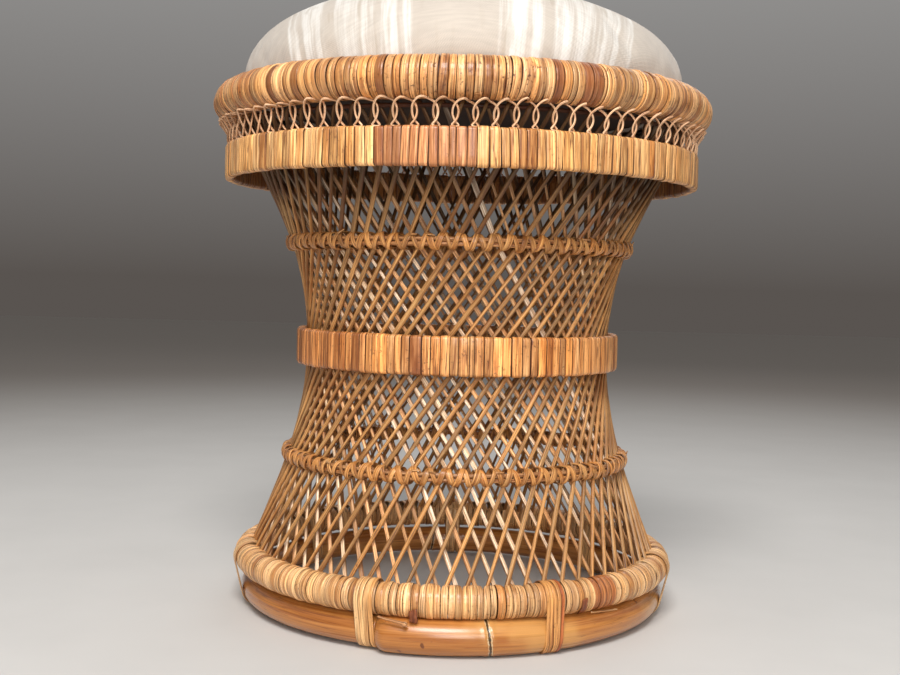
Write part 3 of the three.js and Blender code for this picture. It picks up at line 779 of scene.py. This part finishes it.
def make_ties():
    """Lashings of flat strips side by side that hold the foot ring down on the pole."""
    middle_height, middle_radius = 25, 168
    rng = default_rng(29)
    for i, (middle, count, width) in enumerate(TIES):
        strip = width / count
        path, faces = tie_section(middle)
        shift = (np.arange(count)[:, None] + 0.5 - count / 2) * strip
        level = path[:, 1] / middle_height - 1
        lean = 0.12 * rng.normal(size=(count, 1)) * level
        bearing = middle + np.degrees(shift / middle_radius) + lean
        centre = polar(path[:, 0], bearing, path[:, 1])
        across, out = frames(centre, polar(faces[:, 0], bearing, faces[:, 1]), closed=True)
        across = across * (strip * rng.uniform(0.9, 0.99, (count, 1, 1)) / 2)
        colours = tints(rng, count, (242, 200, 142), 0.06, 0.03)
        if i == BROWN_TIE:
            colours *= (0.86, 0.74, 0.6)
            colours[-1] = linear(186, 108, 58)
        centre = centre + out * 0.2 * rng.random((count, 1, 1))
        strand_piece(f"foot_tie_{i + 1}", "foot_peel", [f"foot_lashing_{i + 1}"], centre, across,
                     out * TIE_THICKNESS / 2, colours, closed=True)


# Lattice
def lean_frame(degrees):
    """Unit steps along a leaning reed and out of its face, as radius and height."""
    along = np.array([math.sin(math.radians(degrees)), math.cos(math.radians(degrees))])
    return along, np.array([along[1], -along[0]])


def reed_places():
    """Radius, height, face (radius and height) and pitches of one length of reed that goes up and down."""
    places = []

    def turn(hoop, side, end, pitches):
        along, out = lean_frame(hoop[2])
        face = side * out + end * along
        places.append((*(hoop[:2] + TURN_REACH * face), *face, pitches))

    def cross(station, side, pitches):
        height, radius, _ = station
        places.append((radius + side * LAYER_OFFSET, height, side, 0.0, pitches))

    for number in range(PASSES_PER_REED):
        start = PASS_PITCHES * number
        turn(FOOT_TURN, 1, -1, start)
        for station in (LOWER_RING, WAIST, UPPER_RING):
            cross(station, 1, start + station[2])
        turn(TOP_TURN, 1, 1, start + PASS_PITCHES / 2)
        turn(TOP_TURN, -1, 1, start + PASS_PITCHES / 2)
        for station in (UPPER_RING, WAIST, LOWER_RING):
            cross(station, -1, start + PASS_PITCHES - station[2])
        turn(FOOT_TURN, -1, -1, start + PASS_PITCHES)
    return np.array(places)


def foot_places():
    """The foot places where the lengths of reed start, one length ending where the next one starts."""
    count = REED_PITCHES // PASSES_PER_REED
    taken = []
    for cycle in range(count):
        place = cycle
        while place not in taken and len(taken) < count:
            taken.append(place)
            place = (place + PASS_PITCHES * PASSES_PER_REED) % REED_PITCHES
    return taken


def filled_rows(rows, step):
    """Rows of values with more rows set evenly between them, by the distance between their points."""
    filled = []
    for start, end in zip(rows[:-1], rows[1:]):
        count = max(2, round(float(np.linalg.norm(end[:3] - start[:3])) / step))
        share = (np.arange(count) / count)[:, None]
        filled.append(start * (1 - share) + end * share)
    return np.vstack(filled)


def make_reeds():
    """Split reeds. Each pass has its own width and colours, darker where the apron keeps the light off."""
    places = reed_places()
    passes = 2 * PASSES_PER_REED
    pass_of_place = np.repeat(np.arange(passes), len(places) // passes)
    apron_bottom = node_box("apron_wrap")[0][2]
    for number, first in enumerate(foot_places()):
        rng = default_rng(100 + number)
        loose = rng.normal(size=len(places)) * 0.22
        loose[[0, -1]] = 0
        bearing = REED_PITCH * (first + FIRST_REED_SHARE + places[:, 4]) + loose
        points = polar(places[:, 0], bearing, places[:, 1])
        faces = polar(places[:, 2], bearing, places[:, 3])
        width = rng.normal(REED_WIDTH, REED_WIDTH_SPREAD, passes).clip(*REED_WIDTH_LIMITS)
        peel = tints(rng, passes, (188, 144, 90), 0.2, 0.04)
        pith = tints(rng, passes, (232, 186, 138), 0.14, 0.03)
        pale = rng.random(passes) < 0.3
        pith[pale] = tints(rng, pale.sum(), (248, 228, 202), 0.06, 0.02)
        by_pass = np.hstack([width[:, None], peel, pith])[pass_of_place]
        rows = smooth(filled_rows(np.hstack([points, faces, by_pass]), REED_STEP), 2)[None]
        path, facing, width, peel, pith = np.split(rows, [3, 6, 7, 10], axis=-1)
        half = width / 2 * (1 + 0.05 * smooth(rng.normal(size=width.shape[1]), 3)[None, :, None])
        hidden = (path[..., 2:] - UPPER_RING[0]) / (apron_bottom - UPPER_RING[0])
        shade = 1 - UPPER_SHADE * hidden.clip(0, 1)
        ribbons(f"woven_reed_{number + 1:02d}", "reed_cane", [f"lattice_reed_{number + 1:02d}"], path, facing,
                half, REED_THICKNESS / 2, peel * shade, shares=REED_SHARES, back=pith * shade)


# Tied rings
def ring_canes(name, height, outer_radius, rng, steps=240):
    """Two thin canes one above the other."""
    cane = RING_CANE_RADIUS
    bearing = around(steps)
    levels = np.array([-1, 1])[:, None] * (cane + RING_CANE_GAP / 2)
    uneven = waves(rng, (steps, 2), 6).T
    path = polar(outer_radius + cane + 0.25 * uneven, bearing, height + levels + 0.3 * uneven[::-1])
    facing = outward(bearing)[None].repeat(2, axis=0)
    canes(f"{name}_canes", "ring_cane", [f"{name}_outer"], path, facing, cane, tints(rng, 2, (186, 136, 88)))


def ring_binding(name, height, inner, outer, first_knot, rng, per_turn=20):
    """Two strips of peel that zigzag round a ring from the radius inner to outer, once at each reed pitch."""
    reach, middle = (outer - inner) / 2 + BINDING_CLEARANCE, (outer + inner) / 2
    count = REED_PITCHES * per_turn
    turn = np.arange(count) / per_turn
    bearing = first_knot - REED_PITCH / 4 + REED_PITCH * turn
    paths = []
    for way, delay, lift in ((1, 0.0, 0.4), (-1, 0.5, 0.0)):
        angle = math.tau * (turn - delay)
        loose = waves(rng, (count, 2), 40).T * 1.6
        out_share = np.sign(np.cos(angle)) * np.abs(np.cos(angle)) ** 0.6
        paths.append(polar(middle + reach * out_share + lift, bearing + loose[0] * 0.4,
                           height + BINDING_RISE * way * np.sin(angle) + loose[1]))
    path = np.stack(paths)
    width = BINDING_HALF_WIDTH * (1 + 0.5 * waves(rng, (count, 2), 20).T[..., None])
    shade = smooth(tints(rng, count, (208, 154, 92), 0.4, 0.08), 12, closed=True)[None].repeat(2, axis=0)
    ribbons(f"{name}_binding", "ring_cane", (), path, path - polar(middle, bearing, height), width,
            BINDING_THICKNESS / 2, shade, closed=True)


def ring_loose_ends(name, height, outer, first_knot, rng):
    """Short ends of peel that stand off a ring at some of its knots."""
    knot = first_knot + REED_PITCH * rng.choice(REED_PITCHES, LOOSE_ENDS, replace=False)
    share = np.linspace(0, 1, 5)[None]
    length = rng.uniform(4, 7, (LOOSE_ENDS, 1))
    turn_out = rng.uniform(-0.6, 1.0, (LOOSE_ENDS, 1))
    path = polar(outer + 0.4 + 0.8 * share, knot[:, None] + np.degrees(length * share / outer),
                 height + BINDING_RISE * 0.8 + turn_out * length * share * 0.6)
    taper = (0.75 * (1 - 0.5 * share))[..., None]
    ribbons(f"{name}_loose_ends", "ring_cane", (), path, outward(knot[:, None] + 0 * share), taper, 0.4,
            tints(rng, LOOSE_ENDS, (214, 168, 116)))


def make_tied_ring(name, station, outer_radius, first_knot):
    """Two thin canes outside the lattice and one inside, bound together."""
    height = station[0]
    rng = default_rng(int(height))
    ring_canes(name, height, outer_radius, rng)
    node_hoop(f"{name}_back_cane", "ring_cane", f"{name}_inner", BACK_CANE_BROWN)
    back_outer, _, depth = ring_box(f"{name}_inner")
    inner = back_outer - depth
    outer = outer_radius + 2 * RING_CANE_RADIUS + BINDING_CLEARANCE
    ring_binding(name, height, inner, outer, first_knot, rng)
    ring_loose_ends(name, height, outer, first_knot, rng)


# Loose pieces
def make_loose_pieces():
    """A twig caught under the foot ring, short ends of peel, and a patch under the rim. Each lies at a reach
    from the middle of the foot ring or rim, at an angle from straight up, and runs between two bearings."""
    steps, peel_half_thickness = 14, 0.35
    share = np.linspace(0, 1, steps)
    rng = default_rng(43)
    foot = ("foot_peel", FOOT_HOOP_RADIUS, FOOT_RING_HEIGHT)
    rim = ("rim_peel", RIM_HOOP_RADIUS, RIM_HEIGHT)
    for name, (slot, hoop, height), reaches, angles, bearings, half_width, colour in (
        ("foot_twig", foot, (15.4, 19.0), (127, 131.5), (-16.3, -9.4), 1.2, (206, 158, 112)),
        ("foot_brown_end", foot, (12.0, 16.0), (106, 137), (-8.3, -8.1), 2.9, (128, 72, 36)),
        ("foot_dark_end", foot, (11.9, 11.9), (86, 152), (32.4, 32.6), 2.4, (140, 80, 44)),
        ("foot_loose_end", foot, (14.6, 15.6), (130, 134), (34.3, 43.0), 0.65, (226, 180, 124)),
        ("rim_patch", rim, (14.9, 14.9), (140, 166), (2.9, 2.9), 2.6, (204, 150, 94)),
    ):
        reach, angle, bearing = (low + (high - low) * share for low, high in (reaches, angles, bearings))
        angle = np.radians(angle)
        uneven = smooth(rng.normal(size=steps), 2)
        path = polar(hoop + reach * np.sin(angle), bearing + 0.1 * uneven,
                     height + reach * np.cos(angle) + 0.15 * uneven)[None]
        width = half_width * (1 + 0.06 * uneven)
        thickness, shares = peel_half_thickness, PEEL_SHARES
        if name == "foot_twig":
            width = width * (0.65 + 0.35 * share) + np.exp(-(((share - 0.95) / 0.06) ** 2))
            thickness, shares = width[None, :, None], ROUND_SHARES
        facing = polar(np.sin(angle), bearing, np.cos(angle))[None]
        ribbons(name, slot, (), path, facing, width[None, :, None], thickness, tints(rng, 1, colour),
                shares=shares, look="foot_peel")


# Lace
def make_lace(steps=36):
    """One cane in a row of round loops: each goes up on its left, over the rim's lower edge and into the rim,
    comes out behind that edge and goes down on its right into the apron's top."""
    count = LACE_LOOPS * steps
    share = (np.arange(count) % steps) / steps
    rng = default_rng(31)
    across_way, up = np.sin(math.tau * share), np.cos(math.tau * share)
    advance = ((share - 0.4) / 0.2).clip(0, 1)
    advance = advance * advance * (3 - 2 * advance)
    loop = np.arange(count) // steps + advance
    uneven = waves(rng, (count, 3), 90).T * 3
    foot = node_box("apron_wrap")[1][2] - LACE_SINK
    height = foot + LACE_HALF_HEIGHT * (1 + 0.05 * uneven[0]) * (1 + up)
    left = (share > 0.5) | (share == 0)
    above = up.clip(0, 1) ** 2
    lean, over_edge, behind_edge = 1.7, 3.9, 4.5
    twist = 1.1 * np.tanh(up * LACE_HALF_HEIGHT / 3)
    radius = LACE_RADIUS + lean * up + np.where(left, over_edge * above + twist, -behind_edge * above - twist)
    radius = smooth(radius, 1, closed=True) + 0.2 * uneven[1]
    swing = np.degrees((LACE_HALF_WIDTH * across_way + 0.5 * uneven[2]) / LACE_RADIUS)
    bearing = FULL_TURN * (loop + LACE_LENS_SHARE) / LACE_LOOPS + swing
    own = LACE_CANE_RADIUS * (1 + 0.06 * uneven[1])[None, :, None]
    path = polar(radius, bearing, height)[None]
    canes("cane_lace", "lace_cane", ["loop_lace"], path, outward(bearing)[None], own,
          tints(rng, 1, (246, 206, 166)))


# Pad
def rim_side(start, end, steps, inset=0.0):
    """Radius and height of the pad's side where it follows the rim, between two angles from straight up."""
    side = np.radians(np.linspace(start, end, steps))
    reach = RIM_RADIUS + PAD_RIM_GAP + inset
    return RIM_HOOP_RADIUS + reach * np.sin(side), RIM_HEIGHT + reach * np.cos(side)


def pad_outline(inset=0.0, crown_steps=40):
    """Radius and height of the pad's side from its crown down to its lower edge."""
    angle = np.radians(np.linspace(90, 0, crown_steps))
    radius = (PAD_WIDEST_RADIUS - inset) * np.abs(np.cos(angle)) ** (2 / PAD_CROWN_POWER)
    height = PAD_WIDEST_HEIGHT + (PAD_CROWN_HEIGHT - inset) * np.sin(angle) ** (2 / PAD_CROWN_POWER)
    radius[0] = 0
    side_radius, side_height = rim_side(318, 278, 8, inset)
    return np.concatenate([radius, side_radius]), np.concatenate([height, side_height])


def ring_faces(rows, steps, first=0):
    """Numbers of points in rows that each go round the stool, and the faces between the rows."""
    ids = first + np.arange(rows * steps).reshape(rows, steps)
    faces = np.stack([ids[:-1], ids[1:], np.roll(ids[1:], -1, 1), np.roll(ids[:-1], -1, 1)], -1)
    return ids, faces.reshape(-1, 4)


def apply_modifiers(piece):
    """Keeps what the piece's modifiers make of it as its own mesh."""
    graph = bpy.context.evaluated_depsgraph_get()
    piece.data = bpy.data.meshes.new_from_object(piece.evaluated_get(graph))
    piece.modifiers.clear()


def swell(piece, held_height):
    """Blows the cushion up as cloth, with what lies in the rim held, and caps how far its points move."""
    start = mesh_points(piece.data)
    held = piece.vertex_groups.new(name="held")
    held.add([i for i, z in enumerate(start[:, 2]) if z < held_height], 1.0, "REPLACE")
    cloth = piece.modifiers.new("cloth", "CLOTH")
    cloth.settings.quality = 6
    cloth.settings.mass = 0.35
    cloth.settings.use_pressure = True
    cloth.settings.uniform_pressure_force = 4
    cloth.settings.effector_weights.gravity = 0
    cloth.settings.vertex_group_mass = held.name
    for number in range(1, SWELL_FRAMES + 1):
        bpy.context.scene.frame_set(number)
    apply_modifiers(piece)
    bpy.context.scene.frame_set(1)
    moved = mesh_points(piece.data) - start
    length = np.linalg.norm(moved, axis=1, keepdims=True).clip(1e-6)
    move_points(piece.data, start + moved * np.minimum(1, SWELL_REACH / length))


def around_rim(radius, height):
    """Angles and distances of places in the pad's section, seen from the middle at the rim's height."""
    rise = height - RIM_HEIGHT
    return np.arctan2(rise, radius), np.hypot(radius, rise)


def fit_outline(points, bottom):
    """Moves the cushion's points above its bottom so that their mean outline is the pad's, still uneven."""
    angles, distances = around_rim(np.hypot(points[:, 0], points[:, 1]), points[:, 2])
    wanted_angles, wanted = around_rim(*pad_outline())
    side = points[:, 2] > bottom
    edges = np.radians(np.concatenate([np.arange(3, 12, 1.5), np.arange(12, 91, 3)]))
    centres = (edges[:-1] + edges[1:]) / 2
    place = np.digitize(angles, edges) - 1
    means = np.array([distances[side & (place == i)].mean() for i in range(len(centres))])
    shares = smooth(np.interp(-centres, -wanted_angles, wanted) / means, 1)
    share = np.where(side, np.interp(angles, centres, shares), 1.0)
    middle = np.array([0, 0, RIM_HEIGHT])
    return middle + (points - middle) * share[:, None]


def cushion_dome(steps=180):
    """The cushion above the board, a little smaller than it ends up, as one closed mesh of even squares."""
    board_top = node_box("seat_board")[1][2]
    bottom = board_top + PAD_BOARD_GAP
    held_height = board_top + PAD_HELD_RISE
    radius, height = pad_outline(PAD_SWELL)
    above = height > bottom
    radius, height = radius[above], height[above]
    radius = np.append(radius, radius[-1] - 1)
    height = np.append(height, bottom)
    rows = polar(radius[1:, None], around(steps)[None], height[1:, None])
    rng = default_rng(37)
    lumps = smooth(smooth(rng.normal(size=rows.shape[:2]), 12).T, 40, closed=True).T
    rows = rows + unit(rows - (0, 0, RIM_HEIGHT - 60)) * (PAD_LUMPS * lumps / np.abs(lumps).max())[..., None]
    points = np.vstack([[[0, 0, height[0]]], rows.reshape(-1, 3)])
    ids, faces = ring_faces(len(radius) - 1, steps, first=1)
    faces = faces.tolist() + [ids[-1].tolist()]
    faces += [[0, int(ids[0, i]), int(ids[0, (i + 1) % steps])] for i in range(steps)]
    piece = mesh_object("cushion_dome", points, faces)
    remesh = piece.modifiers.new("remesh", "REMESH")
    remesh.mode = "VOXEL"
    remesh.voxel_size = PAD_VOXEL * MM
    apply_modifiers(piece)
    swell(piece, held_height)
    surface = piece.modifiers.new("surface", "SUBSURF")
    surface.levels = 1
    apply_modifiers(piece)
    move_points(piece.data, fit_outline(mesh_points(piece.data), held_height))
    return piece


def cushion_hem(steps=360):
    """Points and faces of the cover round the board's edge, whose pleated hem is turned in underneath."""
    low, high = node_box("seat_board")
    bottom = node_box("seat_cover")[0][2]
    board = high[0] + 0.2
    hem_edge, hem_bottom, hem_top = board - 13, bottom + 0.1, low[2] - 0.1
    side_radius, side_height = rim_side(306, 278, 6)
    radius = [*side_radius, board + 1.2, board - 2, board - 7, hem_edge, hem_edge, board - 2, board, board]
    height = [*side_height, bottom + 1.2, *[hem_bottom] * 3, bottom + 0.9, hem_top, low[2], high[2] + 1]
    radius, height = np.array(radius)[:, None], np.array(height)[:, None]
    bearing = around(steps)
    rng = default_rng(41)
    half_pleats, pleat_depth = 33, 0.5
    ragged = waves(rng, steps, 2) * 0.9
    wander = waves(rng, steps, 60) * 6
    pleat = np.abs(np.sin(np.radians(bearing) * half_pleats + wander))
    hem = (radius < board - 1) & (height < low[2])
    height = height + pleat_depth * (1 - pleat) * hem
    rows = polar(radius + ragged * (radius == hem_edge), bearing[None], height)
    ids, faces = ring_faces(len(radius), steps)
    closing = np.stack([ids[-1], ids[0], np.roll(ids[0], -1), np.roll(ids[-1], -1)], axis=-1)
    return rows.reshape(-1, 3), np.vstack([faces, closing])


def cloth_places(points):
    """Where points of the cushion lie on the cloth, spread out flat, in metres."""
    radius, height = pad_outline()
    length = np.concatenate([[0], np.cumsum(np.hypot(np.diff(radius), np.diff(height)))])
    outline_angle, _ = around_rim(radius, height)
    reach = np.hypot(points[:, 0], points[:, 1])
    angle, _ = around_rim(reach, points[:, 2])
    spread = np.interp(-angle, -outline_angle, radius + CLOTH_SPREAD_SHARE * (length - radius))
    places = points * (spread / reach.clip(1e-6))[:, None] * MM
    places[:, 2] = 0
    return places


def make_pad():
    dome = cushion_dome()
    hem_points, hem_faces = cushion_hem()
    dome_points = mesh_points(dome.data)
    dome_faces = [list(face.vertices) for face in dome.data.polygons]
    points = np.vstack([dome_points, hem_points])
    piece = mesh_object("pad_cushion", points, dome_faces + (hem_faces + len(dome_points)).tolist())
    bpy.data.objects.remove(dome)
    set_attribute(piece, "cloth", "FLOAT_VECTOR", cloth_places(points))
    place_piece(piece, "pad_cloth", ["seat_cover", "seat_foam"], PAD_BODY)


def make_board(steps=144, edge=1.0):
    """The board under the pad, with its edges taken off."""
    low, high = node_box("seat_board")
    bottom, top, radius = low[2], high[2], high[0]
    outline = [(radius - edge, top), (radius, top - edge), (radius, bottom + edge), (radius - edge, bottom)]
    rows = np.array([polar(r, around(steps), z) for r, z in outline])
    ids, faces = ring_faces(len(outline), steps)
    faces = faces.tolist() + [ids[0].tolist(), ids[-1, ::-1].tolist()]
    piece = mesh_object("pad_board", rows.reshape(-1, 3), faces)
    place_piece(piece, "plywood", ["seat_board"], PAD_BODY)


# Stage
def make_floor():
    """A pale floor that darkens away from the stool, so that it meets the backdrop without a line."""
    reach = 6000
    corners = [(-reach, -reach, 0), (reach, -reach, 0), (reach, reach, 0), (-reach, reach, 0)]
    floor = mesh_object("floor", corners, [(0, 1, 2, 3)])
    look = Look("floor", (198, 196, 193), Specular_IOR_Level=0.2)
    look.paint(look.noise(look.position(), scale=9, detail=4), (208, 206, 203))
    x, y, _ = look.split(look.position())
    look.paint(look.math("SQRT", x * x + y * y).step(0.4, 2.4), (132, 125, 119))
    floor.data.materials.append(look.finish(0.8))


def make_backdrop():
    """A grey studio backdrop all round, darker towards the floor."""
    world = bpy.data.worlds.new("studio")
    bpy.context.scene.world = world
    world.use_nodes = True
    nodes, links = world.node_tree.nodes, world.node_tree.links
    place, parts, rise = (nodes.new(f"ShaderNode{kind}") for kind in ("TexCoord", "SeparateXYZ", "ValToRGB"))
    links.new(place.outputs["Generated"], parts.inputs[0])
    links.new(parts.outputs["Z"], rise.inputs[0])
    links.new(rise.outputs[0], nodes["Background"].inputs["Color"])
    low, high = rise.color_ramp.elements
    low.position, low.color = 0.0, (0.1, 0.088, 0.08, 1)
    high.position, high.color = 0.35, (0.37, 0.366, 0.36, 1)


def make_lights():
    """Soft lights aimed at the stool's middle: place and size in metres, power in watts, and colour."""
    aim = Vector((0, 0, 0.22))
    for name, place, size, power, colour in (
        ("key", (-0.12, -1.45, 1.75), 0.8, 42, (1, 0.985, 0.965)),
        ("fill", (0.12, -1.9, 0.7), 0.7, 14, (1, 0.985, 0.97)),
        ("back", (0.5, 1.9, 1.7), 1.4, 9, (0.97, 0.98, 1)),
    ):
        light = bpy.data.lights.new(name, "AREA")
        light.size = size
        light.energy = power
        light.color = colour
        lamp = bpy.data.objects.new(name, light)
        lamp.location = place
        lamp.rotation_euler = (aim - lamp.location).to_track_quat("-Z", "Y").to_euler()
        bpy.context.scene.collection.objects.link(lamp)


def make_camera():
    """The photograph's view: a little above the waist, straight on, rolled by a degree and a half."""
    distance, height = 0.9497, 0.2457
    yaw, pitch, roll = (math.radians(angle) for angle in (0.334, 2.545, 1.424))
    focal_pixels, frame_width = 1215.3, 900
    camera = bpy.data.objects.new("camera", bpy.data.cameras.new("camera"))
    camera.data.sensor_width = 36
    camera.data.lens = focal_pixels / frame_width * camera.data.sensor_width
    turns = ((yaw, "Z"), (math.pi / 2 - pitch, "X"), (roll, "Z"))
    turn_z, turn_x, turn_view = (Matrix.Rotation(angle, 4, axis) for angle, axis in turns)
    camera.matrix_world = Matrix.Translation((0, -distance, height)) @ turn_z @ turn_x @ turn_view
    bpy.context.scene.collection.objects.link(camera)
    bpy.context.scene.camera = camera


make_camera()
make_floor()
make_backdrop()
make_lights()
bpy.context.scene.view_settings.view_transform = "Standard"
looks = make_looks()

make_pole()
make_foot_ring()
make_turning_canes()
make_ties()
make_reeds()
make_tied_ring("lower_ring", LOWER_RING, outer_radius=129.9, first_knot=2.7)
make_tied_ring("upper_ring", UPPER_RING, outer_radius=129.5, first_knot=0.5)
make_waist()
make_apron()
make_lace()
make_loose_pieces()
make_rim()
# Painted shade: the ledge cane under the pad is coloured near black, as the shade under the board.
node_hoop("pad_ledge_cane", "core_cane", "seat_ledge", (34, 20, 14))
make_board()
make_pad()
